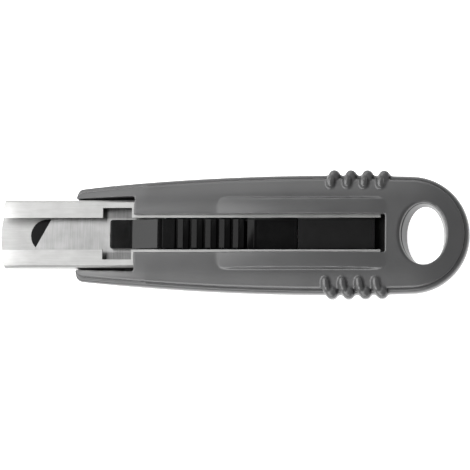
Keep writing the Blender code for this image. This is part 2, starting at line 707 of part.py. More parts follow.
def make_flap(black):
    """Release flap: pad, ramp and knuckle in one, with the peg that holds the blade."""
    pad_end = PAD_START_X + PAD_LENGTH
    low = blade_z() + BLADE_THICK + 0.4 * MM
    ramp_end = hinge_x() - 0.6 * MM
    outline = [(PAD_START_X, low), (PAD_START_X, PAD_TOP_Z - 0.3 * MM),
               (PAD_START_X + 0.4 * MM, PAD_TOP_Z)]
    for share in spread(0.0, 1.0, 5):
        outline.append((pad_end + share * (ramp_end - pad_end),
                        PAD_TOP_Z + share ** RAMP_HOLLOW * (BUTTON_TOP_Z - PAD_TOP_Z)))
    outline += hinge_arc(KNUCKLE_R, math.pi / 2, -math.pi / 2, 14)
    outline += [(hinge_x() - 0.3 * MM, low)]
    flap = add_object("release_flap", prism_y(bmesh.new(), outline, SPINE_HALF), black)
    plan = [(hinge_x() + 2 * KNUCKLE_R, 2 * SPINE_HALF), (pad_end, 2 * SPINE_HALF), (pad_end, SPINE_HALF)]
    for a in spread(math.pi / 2, math.pi, 5):
        plan.append((PAD_START_X + PAD_CORNER_R * (1 + math.cos(a)),
                     SPINE_HALF - PAD_CORNER_R * (1 - math.sin(a))))
    plan += [(x, -y) for x, y in reversed(plan)]
    cut(flap, add_cutter("flap_plan", prism_z(bmesh.new(), plan, 0.0, 2 * LIP_Z)), 'INTERSECT')
    room = bmesh.new()
    ear_room = hinge_arc(EAR_R + RUN, 0.35 * math.pi, math.pi, 10)
    ear_room += [(hinge_x() - EAR_R - RUN, hinge_z() - 2 * KNUCKLE_R),
                 (hinge_x() + 2 * KNUCKLE_R, hinge_z() - 2 * KNUCKLE_R),
                 (hinge_x() + 2 * KNUCKLE_R, hinge_z() + EAR_R + RUN - 0.7 * MM)]
    for side in (1, -1):
        loft(room, [[(x, side * y, z) for x, z in ear_room] for y in (KNUCKLE_HALF, 2 * SPINE_HALF)])
    cut(flap, add_cutter("ear_room", room))
    peg_profile = [(PEG_R - 0.2 * MM, blade_z() + 0.05 * MM), (PEG_R, blade_z() + 0.3 * MM),
                   (PEG_R, low + 0.5 * MM)]
    peg = turned(bmesh.new(), (BLADE_CENTRE_X, 0.0), peg_profile)
    cut(flap, add_cutter("flap_peg", peg), 'UNION')
    cut(flap, add_cutter("knuckle_bore", hinge_rod(SPINE_HALF, HINGE_R + PIN_ROOM, 16)))


def make_flap_pin(steel):
    add_object("flap_pin", hinge_rod(SPINE_HALF - 0.1 * MM, HINGE_R, 16), steel)


def make_rear_stop(black, shared):
    low = FLOOR_Z + GAP
    top = LIP_UNDER_Z - GAP
    bm = bmesh.new()
    half = CHANNEL_HALF - SHEET - GAP
    section = [(-half, low), (half, low), (half, top), (SPINE_HALF, top), (SPINE_HALF, STOP_TOP_Z),
               (-SPINE_HALF, STOP_TOP_Z), (-SPINE_HALF, top), (-half, top)]
    stop = add_object("rear_stop", loft(bm, [[(x, y, z) for y, z in section]
                                             for x in (STOP_START_X, STOP_END_X)]), black)
    plate = box(bmesh.new(), (STOP_END_X - 1 * MM, -half, low),
                (CHANNEL_END_X - RUN, half, low + SLED_PLATE))
    cut(stop, add_cutter("stop_plate", plate), 'UNION')
    tunnel = bmesh.new()
    box(tunnel, (STOP_START_X - 1 * MM, -TUNNEL_HALF, low - 1 * MM),
        (STOP_END_X - 1.2 * MM, TUNNEL_HALF, LIP_UNDER_Z - RUN - 0.4 * MM))
    cut(stop, add_cutter("stop_tunnel", tunnel))
    post = turned(bmesh.new(), (rear_post_x(), 0.0), [(POST_R, spring_z() - 1.0 * MM), (POST_R, top)], 16)
    cut(stop, add_cutter("stop_spring_post", post), 'UNION')
    cut(stop, shared["rivets"])


def make_spring(steel):
    """Extension coil with an eye round the post at each end."""
    z = spring_z()
    coil_start = front_post_x() + EYE_R + 0.9 * MM
    coil_end = rear_post_x() - EYE_R - 0.9 * MM
    path = []
    for i in range(11):
        a = math.radians(-20 - 29 * i)
        path.append((front_post_x() + EYE_R * math.cos(a), EYE_R * math.sin(a), z))
    steps = SPRING_TURNS * 10
    for i in range(steps + 1):
        a = 2 * math.pi * i / 10
        ease = min(1.0, i / 5, (steps - i) / 5)
        path.append((coil_start + (coil_end - coil_start) * i / steps,
                     SPRING_R * ease * math.cos(a), z + SPRING_R * ease * math.sin(a)))
    for i in range(11):
        a = math.radians(160 - 29 * i)
        path.append((rear_post_x() + EYE_R * math.cos(a), EYE_R * math.sin(a), z))
    add_object("return_spring", tube(bmesh.new(), path, [WIRE_R] * len(path), 6), steel)


def make_screws(steel):
    for place, x, y in screw_places():
        profile = screw_profile(0.0)
        screw = add_object("handle_screw_" + place, turned(bmesh.new(), (x, y), profile), steel)
        cross = bmesh.new()
        for long_x, long_y in ((1.1 * MM, 0.25 * MM), (0.25 * MM, 1.1 * MM)):
            box(cross, (x - long_x, y - long_y, 0.0), (x + long_x, y + long_y, SCREW_RECESS + 0.6 * MM))
        cut(screw, add_cutter("drive_" + place, cross), self_crossing=True)


def make_rivets(steel):
    for name, side in (("left", -1), ("right", 1)):
        profile = [(RIVET_HEAD_R, 0.5 * MM), (RIVET_HEAD_R, 0.5 * MM + RIVET_HEAD),
                   (RIVET_R, 0.5 * MM + RIVET_HEAD), (RIVET_R, RIVET_TOP_Z)]
        add_object("channel_rivet_" + name, turned(bmesh.new(), (RIVET_X, side * RIVET_Y), profile), steel)


def main():
    clear_scene()
    plastic = material("grey_plastic", (0.16, 0.16, 0.165), 0.42)
    black = material("black_plastic", (0.02, 0.02, 0.02), 0.4)
    stainless = material("stainless_sheet", (0.72, 0.72, 0.72), 0.25, 1.0)
    blade_steel = material("blade_steel", (0.62, 0.62, 0.62), 0.3, 1.0)
    fixings = material("zinc_steel", (0.55, 0.55, 0.53), 0.35, 1.0)
    shared = {"bars": finger_bars(), "bay": channel_bay(),
              "hole": hole_cutter(), "pockets": pocket_cutter(), "screws": screw_cutter(),
              "rivets": rivet_cutter()}
    make_shells(plastic, shared)
    make_channel(stainless, shared)
    make_blade(blade_steel)
    make_carrier(black)
    make_slider(black)
    make_flap(black)
    make_flap_pin(fixings)
    make_rear_stop(black, shared)
    make_spring(fixings)
    make_screws(fixings)
    make_rivets(fixings)


main()
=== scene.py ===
"""Looks of a spring-return utility knife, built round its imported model.

Metres, in the model's frame: the knife lies on its back, nose towards -X, thumb side up.
"""
import json
import math

import bpy
from mathutils import Matrix, Vector

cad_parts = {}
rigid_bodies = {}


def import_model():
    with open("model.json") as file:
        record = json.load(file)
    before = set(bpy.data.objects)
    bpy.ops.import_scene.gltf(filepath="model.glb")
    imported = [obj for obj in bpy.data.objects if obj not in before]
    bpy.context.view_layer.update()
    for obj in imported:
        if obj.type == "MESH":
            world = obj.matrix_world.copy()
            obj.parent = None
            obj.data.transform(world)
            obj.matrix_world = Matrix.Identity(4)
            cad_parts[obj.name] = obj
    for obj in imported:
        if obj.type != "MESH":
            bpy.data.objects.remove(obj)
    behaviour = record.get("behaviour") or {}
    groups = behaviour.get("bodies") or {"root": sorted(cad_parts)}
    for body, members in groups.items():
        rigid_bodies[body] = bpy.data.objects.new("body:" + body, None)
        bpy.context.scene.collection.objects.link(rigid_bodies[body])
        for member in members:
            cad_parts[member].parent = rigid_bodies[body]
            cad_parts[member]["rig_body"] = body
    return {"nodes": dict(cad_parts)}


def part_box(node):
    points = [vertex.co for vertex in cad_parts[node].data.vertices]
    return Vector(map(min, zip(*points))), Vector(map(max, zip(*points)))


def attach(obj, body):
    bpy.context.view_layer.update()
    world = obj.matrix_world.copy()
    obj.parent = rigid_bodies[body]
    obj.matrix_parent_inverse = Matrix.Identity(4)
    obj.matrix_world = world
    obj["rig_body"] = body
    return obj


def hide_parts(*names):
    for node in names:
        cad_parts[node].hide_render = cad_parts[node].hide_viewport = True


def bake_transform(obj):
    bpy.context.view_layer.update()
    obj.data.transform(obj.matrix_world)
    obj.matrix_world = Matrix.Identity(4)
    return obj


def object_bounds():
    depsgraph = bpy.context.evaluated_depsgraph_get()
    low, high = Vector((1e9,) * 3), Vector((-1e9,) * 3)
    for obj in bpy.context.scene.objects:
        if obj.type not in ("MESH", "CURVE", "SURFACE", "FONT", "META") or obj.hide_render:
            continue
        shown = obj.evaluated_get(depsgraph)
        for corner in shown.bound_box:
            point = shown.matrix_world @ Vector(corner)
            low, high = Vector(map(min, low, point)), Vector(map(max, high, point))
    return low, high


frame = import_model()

MM = 0.001
cad_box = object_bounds()
nodes = frame["nodes"]
nose_x = cad_box[0].x
ring_x = cad_box[1].x

# Camera
VIEW_DISTANCE = 0.9
VIEW_ACROSS = math.radians(8.45)      # towards -Y from straight above
VIEW_ALONG = math.radians(6.05)       # towards +X
VIEW_ROLL = math.radians(0.85)
VIEW_AIM = Vector((0.68 * MM, 0.0, 6.0 * MM))
VIEW_LENS = 233.4


def make_camera():
    away = Vector((math.sin(VIEW_ALONG), -math.sin(VIEW_ACROSS) * math.cos(VIEW_ALONG),
                   math.cos(VIEW_ACROSS) * math.cos(VIEW_ALONG)))
    right = Vector((0, 1, 0)).cross(away).normalized()
    up = away.cross(right)
    turned_right = math.cos(VIEW_ROLL) * right + math.sin(VIEW_ROLL) * up
    turned_up = away.cross(turned_right)
    data = bpy.data.cameras.new("camera")
    data.lens = VIEW_LENS
    camera = bpy.data.objects.new("camera", data)
    bpy.context.scene.collection.objects.link(camera)
    turn = Matrix((turned_right, turned_up, away)).transposed().to_4x4()
    camera.matrix_world = Matrix.Translation(VIEW_AIM + VIEW_DISTANCE * away) @ turn
    bpy.context.scene.camera = camera


make_camera()


class Wire:
    """A number coming out of a shader node, ready for arithmetic."""

    def __init__(self, tree, socket):
        self.tree = tree
        self.socket = socket

    def math(self, operation, *others):
        node = self.tree.nodes.new("ShaderNodeMath")
        node.operation = operation
        for place, value in zip(node.inputs, (self, *others)):
            plug(self.tree, place, value)
        return Wire(self.tree, node.outputs[0])

    def swapped(self, operation, other):
        node = self.tree.nodes.new("ShaderNodeMath")
        node.operation = operation
        plug(self.tree, node.inputs[0], other)
        plug(self.tree, node.inputs[1], self)
        return Wire(self.tree, node.outputs[0])

    def __add__(self, other):
        return self.math('ADD', other)

    def __radd__(self, other):
        return self.math('ADD', other)

    def __sub__(self, other):
        return self.math('SUBTRACT', other)

    def __rsub__(self, other):
        return self.swapped('SUBTRACT', other)

    def __mul__(self, other):
        return self.math('MULTIPLY', other)

    def __rmul__(self, other):
        return self.math('MULTIPLY', other)

    def __truediv__(self, other):
        return self.math('DIVIDE', other)

    def clamp(self):
        held = self.math('ADD', 0.0)
        held.socket.node.use_clamp = True
        return held


def plug(tree, place, value):
    if isinstance(value, Wire):
        tree.links.new(value.socket, place)
    elif isinstance(value, bpy.types.NodeSocket):
        tree.links.new(value, place)
    else:
        place.default_value = value


class Finish:
    """One material and its node tree."""

    def __init__(self, name, colour, roughness, metallic=0.0):
        self.material = bpy.data.materials.new(name)
        self.material.use_nodes = True
        self.tree = self.material.node_tree
        self.shader = self.tree.nodes["Principled BSDF"]
        self.set("Base Color", (*colour, 1.0))
        self.set("Roughness", roughness)
        self.set("Metallic", metallic)
        self.place = self.add("ShaderNodeTexCoord").outputs["Object"]

    def set(self, name, value):
        plug(self.tree, self.shader.inputs[name], value)

    def add(self, kind, settings=None, **values):
        """A node of any type: its settings first, then values or links of its sockets."""
        node = self.tree.nodes.new(kind)
        for key, value in (settings or {}).items():
            setattr(node, key, value)
        for key, value in values.items():
            plug(self.tree, node.inputs[key.replace("_", " ")], value)
        return node

    def noise(self, scale, detail=2.0, stretch=(1, 1, 1)):
        """Noise on the piece's own place; scale is in cells per metre."""
        mapping = self.add("ShaderNodeMapping", Vector=self.place)
        mapping.inputs["Scale"].default_value = stretch
        node = self.add("ShaderNodeTexNoise", Vector=mapping.outputs[0], Scale=scale, Detail=detail)
        return Wire(self.tree, node.outputs[0])

    def axes(self):
        """The piece's own X, Y and Z as numbers."""
        split = self.add("ShaderNodeSeparateXYZ", Vector=self.place)
        return [Wire(self.tree, socket) for socket in split.outputs]

    def mix(self, share, first, second):
        node = self.add("ShaderNodeMix", {"data_type": 'RGBA'})
        plug(self.tree, node.inputs[0], share)
        plug(self.tree, node.inputs[6], (*first, 1.0))
        plug(self.tree, node.inputs[7], (*second, 1.0))
        return node.outputs[2]

    def rounded(self, radius):
        """Soft highlight along the moulded edges."""
        return self.add("ShaderNodeBevel", {"samples": 4}, Radius=radius).outputs[0]

    def bump(self, height, distance, strength=1.0, normal=None):
        node = self.add("ShaderNodeBump", Height=height, Distance=distance, Strength=strength)
        if normal is not None:
            plug(self.tree, node.inputs["Normal"], normal)
        self.set("Normal", node.outputs[0])


# Where painted highlight and painted shade change the tone of a metal
NOSE_HIGHLIGHT = 3.2 * MM            # painted highlight up to here behind the nose's front
NOSE_HIGHLIGHT_FADE = 2.5 * MM
BLADE_SHADE_Y = 4.8 * MM          # painted shade from here outwards, where the lips shade the blade
BLADE_SHADE_FADE = 0.5 * MM
BLADE_DEEP_SHADE_Y = 7.8 * MM         # deeper painted shade from here outwards, where the windows are in shade
BLADE_DEEP_SHADE_FADE = 0.2 * MM


def grey_plastic():
    finish = Finish("satin grey plastic", (0.06, 0.06, 0.061), 0.3)
    cloud = finish.noise(90.0, 3.0)
    finish.set("Base Color", finish.mix(cloud, (0.042, 0.042, 0.0426), (0.054, 0.054, 0.0547)))
    grain = finish.noise(9000.0, 2.0)
    finish.set("Roughness", 0.26 + 0.08 * cloud)
    finish.bump(grain, 0.02 * MM, 0.25)
    return finish.material


def black_plastic(name, shine, roughness):
    finish = Finish(name, (0.006, 0.006, 0.0062), 0.36)
    finish.set("Specular IOR Level", shine)
    cloud = finish.noise(300.0, 3.0)
    finish.set("Base Color", finish.mix(cloud, (0.002, 0.002, 0.0021), (0.004, 0.004, 0.0041)))
    grain = finish.noise(7000.0, 2.0)
    finish.set("Roughness", roughness + 0.08 * cloud)
    finish.bump(grain, 0.02 * MM, 0.3, finish.rounded(0.15 * MM))
    return finish.material


def rolled_steel():
    """Mottled stainless sheet, brushed along the knife, with a painted highlight at the rolled-over
    nose.
    """
    finish = Finish("rolled stainless sheet", (0.8, 0.8, 0.79), 0.3, 1.0)
    blotch = finish.noise(330.0, 6.0, (0.6, 1, 1))
    lines = finish.noise(3200.0, 3.0, (0.035, 1, 1))
    x, _, _ = finish.axes()
    # painted highlight: the colour is lighter towards the nose's front, standing in for light falling on
    # it
    nose = (1 - (x - nose_x - NOSE_HIGHLIGHT) / NOSE_HIGHLIGHT_FADE).clamp()
    tone = (0.62 * blotch + 0.38 * lines + 0.12 * nose).clamp()
    finish.set("Base Color", finish.mix(tone, (0.19, 0.19, 0.187), (0.4, 0.4, 0.396)))
    finish.set("Roughness", 0.32 + 0.14 * lines + 0.1 * blotch)
    finish.bump(lines, 0.012 * MM, 0.35, finish.rounded(0.12 * MM))
    return finish.material


def ground_steel():
    """Blade steel ground across its length, with painted shade in two bands towards each long edge,
    where the lips shade it.
    """
    finish = Finish("ground blade steel", (0.6, 0.6, 0.6), 0.3, 1.0)
    blotch = finish.noise(200.0, 5.0)
    lines = finish.noise(3500.0, 3.0, (1, 0.04, 1))
    _, y, _ = finish.axes()
    out = y.math('ABSOLUTE')
    # painted shade: the blade is darker in colour under the lips and deeper still towards its edges
    painted_lip_shade = ((out - BLADE_SHADE_Y) / BLADE_SHADE_FADE).clamp()
    painted_window_shade = ((out - BLADE_DEEP_SHADE_Y) / BLADE_DEEP_SHADE_FADE).clamp()
    tone = (0.6 * blotch + 0.4 * lines - 0.4 * painted_lip_shade - 0.3 * painted_window_shade).clamp()
    finish.set("Base Color", finish.mix(tone, (0.1, 0.1, 0.1), (0.39, 0.39, 0.387)))
    finish.set("Roughness", 0.26 + 0.16 * lines)
    finish.bump(lines, 0.012 * MM, 0.35, finish.rounded(0.05 * MM))
    return finish.material


def plated_steel():
    finish = Finish("plated steel", (0.55, 0.55, 0.53), 0.35, 1.0)
    patches = finish.noise(1500.0, 3.0)
    finish.set("Roughness", 0.28 + 0.16 * patches)
    finish.bump(patches, 0.01 * MM, 0.3, finish.rounded(0.08 * MM))
    return finish.material


FLOOR_GLOW = 1.0
SOFTBOXES = {                    # place and size in metres, brightness as seen from the knife
    "softbox_left": ((-0.75, 0.15, 0.8), (1.0, 1.25), 5.2),
    "softbox_far": ((-0.25, 0.95, 0.75), (1.1, 0.5), 3.5),
    "softbox_near": ((-0.25, -0.76, 0.85), (1.1, 0.5), 7.0),
}
ZENITH_BRIGHTNESS = 0.06
HORIZON_BRIGHTNESS = 0.9


def make_floor():
    bpy.ops.object.select_all(action='DESELECT')
    bpy.ops.mesh.primitive_plane_add(size=2.4, location=(0, 0, -0.05 * MM))
    floor = bpy.context.active_object
    floor.name = "pale_floor"
    paint = Finish("pale floor", (0.88, 0.88, 0.88), 0.8)
    paint.set("Emission Color", (1.0, 1.0, 1.0, 1.0))
    paint.set("Emission Strength", FLOOR_GLOW)
    floor.data.materials.append(paint.material)


def area_light(name, place, size, radiance):
    """A soft box aimed at the knife, with its brightness as seen from the knife."""
    data = bpy.data.lights.new(name, 'AREA')
    data.shape = 'RECTANGLE'
    data.size, data.size_y = size
    data.energy = radiance * math.pi * size[0] * size[1]
    light = bpy.data.objects.new(name, data)
    bpy.context.scene.collection.objects.link(light)
    aim = -Vector(place)
    turn = aim.to_track_quat('-Z', 'Y').to_matrix().to_4x4()
    light.matrix_world = Matrix.Translation(place) @ turn


def make_lights():
    for name, (place, size, brightness) in SOFTBOXES.items():
        area_light(name, place, size, brightness)
    world = bpy.data.worlds.new("studio")
    world.use_nodes = True
    tree = world.node_tree
    background = tree.nodes["Background"]
    background.inputs["Color"].default_value = (1, 1, 1, 1)
    way = tree.nodes.new("ShaderNodeTexCoord")
    split = tree.nodes.new("ShaderNodeSeparateXYZ")
    tree.links.new(way.outputs["Generated"], split.inputs[0])
    height = Wire(tree, split.outputs["Z"]).math('MAXIMUM', 0.0)
    low = (1 - height).math('POWER', 2.0)
    strength = ZENITH_BRIGHTNESS + (HORIZON_BRIGHTNESS - ZENITH_BRIGHTNESS) * low
    tree.links.new(strength.socket, background.inputs["Strength"])
    bpy.context.scene.world = world
    bpy.context.scene.view_settings.view_transform = 'Standard'


# Driving sizes, read from the frame where it gives them
arm_tip_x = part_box("back_shell")[0].x
lip_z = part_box("blade_channel")[1].z
GAP = 0.34 * MM
HALF_WIDTH = 17.75 * MM
ARM_TIP_HALF = HALF_WIDTH - 4.0 * MM
ARM_CORNER_R = 1.8 * MM
WIDEST_X = ring_x - 41.5 * MM
STEP_X = nose_x + 40.7 * MM
SLOT_END_X = ring_x - 24.7 * MM
SLOT_HALF = 5.6 * MM
CROWN_Z = lip_z + 1.6 * MM
CROWN_X = ring_x - 50.5 * MM
CROWN_DROP = 1.3 * MM
SEAM_Z = lip_z - 1.0 * MM
SEAM_DROP = 1.5 * MM
SEAM_KNEE_X = STEP_X + 3.7 * MM
SEAM_INSET = 1.2 * MM
SHOULDER = 1.6 * MM
BELT_Z = lip_z - 3.0 * MM
PANEL_HALF = 10.6 * MM
PANEL_RISE = 1.1 * MM
PANEL_START_X = STEP_X + 24.7 * MM
PANEL_END_X = SLOT_END_X + 0.5 * MM
PANEL_CORNER_R = 2.5 * MM
CREASE_WIDTH = 0.3 * MM          # of the step at the panels' outer edge
HOLE_HALF_X = 7.15 * MM
HOLE_HALF_Y = 9.5 * MM
WAIST_HALF_X = 5.4 * MM
WAIST_SHIFT = 0.35 * MM
WAIST_HALF_Y = 8.9 * MM
WAIST_Z = 1.7 * MM
HOLE_X = ring_x - 6.3 * MM - HOLE_HALF_X
LOWER_EDGE_ACROSS = 3.2 * MM     # of the rounding between the back and the belt
LOWER_EDGE_UP = 4.3 * MM
BELT_LEAST = 1.2 * MM            # height of the belt where the seam is lowest
SHOULDER_ROOM = 0.2 * MM         # between the shoulder and the panels' edge
SHOULDER_TURN = math.radians(72)
SHOULDER_RISE = 0.34             # share of the height from the seam to the crown
EDGE_SHARE = 0.88                # of the panels' rise taken at their edge, the rest by the slot
FOOT_DEPTH = 0.1                 # of the hollow along the panels' foot, as a share of their rise
OUTSIDE = 30 * MM                # well beyond the knife
BACK_WALL = 2.7 * MM
BAY_HALF = 10.35 * MM
BAY_LEAD = 1 * MM                # of the bay and the slot into the mouth
LIP_ROOM = 0.15 * MM             # over the channel's lips
SLOT_FLOOR_Z = 7 * MM
MOUTH_HALF = 11.2 * MM
MOUTH_TIP_HALF = 10.4 * MM
BAR_COUNT = 4
BAR_PITCH = 4.9 * MM
BAR_R = 1.25 * MM
BAR_LEAD = 0.35 * MM             # of a bar's slim end ahead of its knob
BAR_PROUD = 1.45 * MM
UPPER_BAR_X = ring_x - 40.5 * MM
UPPER_REACH = 4.0 * MM
UPPER_BEAD_LEAN = 0.1 * MM
UPPER_KNOB_LEAN = 0.7 * MM
LOWER_BAR_X = ring_x - 41.75 * MM
LOWER_REACH = 4.7 * MM
LOWER_BEAD_LEAN = 0.7 * MM
LOWER_KNOB_LEAN = 1.5 * MM
KNOB_R = 1.8 * MM
KNOB_TOP = 1.35 * MM             # above the seam
EDGE_BEVEL = 0.1 * MM            # on the black pieces
STOP_PLATE_REACH = 1.25 * MM     # of the rear stop's low plate past the channel's end

# How finely the handle is made
CORNER_STEPS = 6
SIDE_STEPS = 96
RING_STEPS = 60
FRONT_GRAIN = 0.245 * MM
FRONT_ROUNDS = 3
BACK_GRAIN = 0.34 * MM
BACK_ROUNDS = 6


def only(piece):
    """Select one piece and nothing else."""
    bpy.ops.object.select_all(action='DESELECT')
    piece.select_set(True)
    bpy.context.view_layer.objects.active = piece


def added(name):
    """Name the primitive that was just added and settle its place in its mesh."""
    piece = bpy.context.active_object
    piece.name = name
    only(piece)
    bpy.ops.object.transform_apply(location=True, rotation=True, scale=True)
    return piece


def block(name, low, high):
    bpy.ops.object.select_all(action='DESELECT')
    low = Vector(low)
    high = Vector(high)
    bpy.ops.mesh.primitive_cube_add(size=1, location=(low + high) / 2, scale=high - low)
    return added(name)


def pick(piece, test):
    """In edit mode, select the vertices whose place passes the test."""
    bpy.ops.object.mode_set(mode='OBJECT')
    for part in (piece.data.vertices, piece.data.edges, piece.data.polygons):
        part.foreach_set("select", [False] * len(part))
    for vertex in piece.data.vertices:
        vertex.select = bool(test(vertex.co))
    bpy.ops.object.mode_set(mode='EDIT')
    bpy.ops.mesh.select_mode(type='VERT')


def finish_with(piece, kind, **settings):
    """Add a modifier and apply it."""
    only(piece)
    modifier = piece.modifiers.new(kind.lower(), kind)
    for key, value in settings.items():
        setattr(modifier, key, value)
    bpy.ops.object.modifier_apply(modifier=modifier.name)


def combine(piece, tool, operation='DIFFERENCE'):
    finish_with(piece, 'BOOLEAN', object=tool, operation=operation, solver='EXACT')
    bpy.data.objects.remove(tool)


def copied(piece, name):
    twin = bpy.data.objects.new(name, piece.data.copy())
    bpy.context.scene.collection.objects.link(twin)
    return twin


def moulded(piece, grain, rounds):
    """Round every edge softly, as a mould does."""
    finish_with(piece, 'REMESH', mode='VOXEL', voxel_size=grain, adaptivity=0.0)
    finish_with(piece, 'SMOOTH', factor=0.5, iterations=rounds)


def stand_for(piece, node, finish):
    """Give a finished piece its material in one slot, and hide the CAD node that it stands for."""
    piece.data.materials.clear()
    piece.data.materials.append(finish)
    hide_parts(node)


# The moulded handle
def spread(start, end, steps):
    return [start + (end - start) * i / steps for i in range(steps + 1)]


def eased(share):
    share = min(1.0, max(0.0, share))
    return share * share * (3 - 2 * share)


def side_y(x):
    """Half width of the handle's long side curves."""
    along = (x - WIDEST_X) / (arm_tip_x - WIDEST_X)
    return HALF_WIDTH - (HALF_WIDTH - ARM_TIP_HALF) * along ** 2


def crown_z(x):
    """Height of the front face's long arch."""
    return CROWN_Z - CROWN_DROP * ((x - CROWN_X) / (arm_tip_x - CROWN_X)) ** 2


def seam_z(x):
    if x >= SEAM_KNEE_X:
        return SEAM_Z
    return SEAM_Z - SEAM_DROP * (SEAM_KNEE_X - x) / (SEAM_KNEE_X - arm_tip_x)


def panel_rise(x):
    middle = (PANEL_START_X + PANEL_END_X) / 2
    reach = (PANEL_END_X - PANEL_START_X) / 2
    return max(0.0, PANEL_RISE * (1 - ((x - middle) / reach) ** 2))


def panel_half(x):
    """Half width of the raised panels, rounded off at their corners."""
    from_end = min(x - PANEL_START_X, PANEL_END_X - x)
    if from_end <= 0:
        return PANEL_HALF - PANEL_CORNER_R
    if from_end >= PANEL_CORNER_R:
        return PANEL_HALF
    short = PANEL_CORNER_R - from_end
    return PANEL_HALF - PANEL_CORNER_R + math.sqrt(PANEL_CORNER_R ** 2 - short ** 2)


def ring_centre():
    x = ring_x - HALF_WIDTH
    for _ in range(8):
        x = ring_x - side_y(x)
    return x


def half_section(half, x_of):
    """Half of the handle's section: middle of the back, round the side, middle of the front."""
    here = x_of(half)
    seam = seam_z(here)
    belt = min(BELT_Z, seam - BELT_LEAST)
    narrow = min(1.0, (half - PANEL_HALF - SHOULDER_ROOM) / (SEAM_INSET + SHOULDER))
    inset = SEAM_INSET * narrow
    shoulder = SHOULDER * narrow
    points = [(0.0, 0.0), (0.5 * half, 0.0)]
    for turn in spread(0.0, math.pi / 2, 9):
        points.append((half - LOWER_EDGE_ACROSS * (1 - math.sin(turn)),
                       LOWER_EDGE_UP * (1 - math.cos(turn))))
    for turn in spread(0.0, math.pi / 2, 7):
        points.append((half - inset * (1 - math.cos(turn)), belt + (seam - belt) * math.sin(turn)))
    for turn in spread(0.0, SHOULDER_TURN, 7)[1:]:
        y = half - inset - shoulder * (1 - math.cos(turn))
        rise = SHOULDER_RISE * (crown_z(x_of(y)) - seam)
        points.append((y, seam + rise * math.sin(turn)))
    start_y, start_z = points[-1]
    crease = panel_half(here)
    # Places across the face, closer together at the panels' edge
    outside = PANEL_HALF + 0.3 * MM
    across = [start_y + share * (outside - start_y) for share in spread(0.0, 1.0, 7)[1:]]
    across += [outside + share * (crease + 0.05 * MM - outside) for share in spread(0.0, 1.0, 3)[1:]]
    across += [crease - share * CREASE_WIDTH for share in spread(0.0, 1.0, 3)[1:]]
    last = crease - CREASE_WIDTH
    across += [last + share * (SLOT_HALF + 0.4 * MM - last) for share in spread(0.0, 1.0, 5)[1:]]
    across.append(0.0)
    for y in across:
        x = x_of(y)
        share = min(1.0, (start_y - y) / (start_y - SLOT_HALF))
        arch = start_z + (crown_z(x) - start_z) * math.sin(share * math.pi / 2)
        step = EDGE_SHARE * eased((crease - y) / CREASE_WIDTH)
        slope = (1 - EDGE_SHARE) * eased((crease - y) / (crease - SLOT_HALF))
        foot = FOOT_DEPTH * eased(1 - abs(y - crease - CREASE_WIDTH) / (3 * CREASE_WIDTH))
        points.append((y, arch + panel_rise(x) * (step + slope - foot)))
    return points


def handle_blank():
    """The whole handle as one solid: along one side, half a turn round the ring, and back."""
    centre = ring_centre()
    stations = []
    for turn in spread(0.0, math.pi / 2, CORNER_STEPS):
        stations.append((arm_tip_x + ARM_CORNER_R * (1 - math.cos(turn)),
                         ARM_CORNER_R * (1 - math.sin(turn))))
    stations += [(x, 0.0) for x in spread(arm_tip_x + ARM_CORNER_R, centre, SIDE_STEPS)[1:]]
    spokes = []
    for x, shrink in stations:
        spokes.append([(x, y, z) for y, z in half_section(side_y(x) - shrink, lambda d: x)])
    for turn in spread(0.0, math.pi, RING_STEPS)[1:-1]:
        section = half_section(side_y(centre), lambda d: centre + d * math.sin(turn))
        spokes.append([(centre + y * math.sin(turn), y * math.cos(turn), z) for y, z in section])
    for x, shrink in reversed(stations):
        spokes.append([(x, -y, z) for y, z in half_section(side_y(x) - shrink, lambda d: x)])
    bpy.ops.object.select_all(action='DESELECT')
    bpy.ops.mesh.primitive_grid_add(x_subdivisions=len(spokes) - 1,
                                    y_subdivisions=len(spokes[0]) - 1, size=2)
    blank = added("handle_blank")
    for vertex in blank.data.vertices:
        row = round((vertex.co.x + 1) / 2 * (len(spokes) - 1))
        place = round((vertex.co.y + 1) / 2 * (len(spokes[0]) - 1))
        vertex.co = spokes[row][place]
    bpy.ops.object.mode_set(mode='EDIT')
    bpy.ops.mesh.select_all(action='SELECT')
    bpy.ops.mesh.remove_doubles(threshold=0.003 * MM)
    bpy.ops.mesh.select_all(action='DESELECT')
    bpy.ops.mesh.select_non_manifold(extend=False)
    bpy.ops.mesh.fill_holes(sides=0)
    bpy.ops.mesh.select_all(action='SELECT')
    bpy.ops.mesh.normals_make_consistent(inside=False)
    bpy.ops.object.mode_set(mode='OBJECT')
    return blank


def bead(name, path):
    """A round bar along points of (x, y, z, radius)."""
    bpy.ops.object.select_all(action='DESELECT')
    bpy.ops.curve.primitive_nurbs_path_add()
    curve = bpy.context.active_object
    spline = curve.data.splines[0]
    spline.points.add(len(path) - len(spline.points))
    for point, (x, y, z, radius) in zip(spline.points, path):
        point.co = (x, y, z, 1.0)
        point.radius = radius / MM
    spline.order_u = 3
    spline.use_endpoint_u = True
    curve.data.resolution_u = 5
    curve.data.bevel_depth = MM
    curve.data.bevel_resolution = 5
    curve.data.use_fill_caps = True
    bpy.ops.object.convert(target='MESH')
    return added(name)


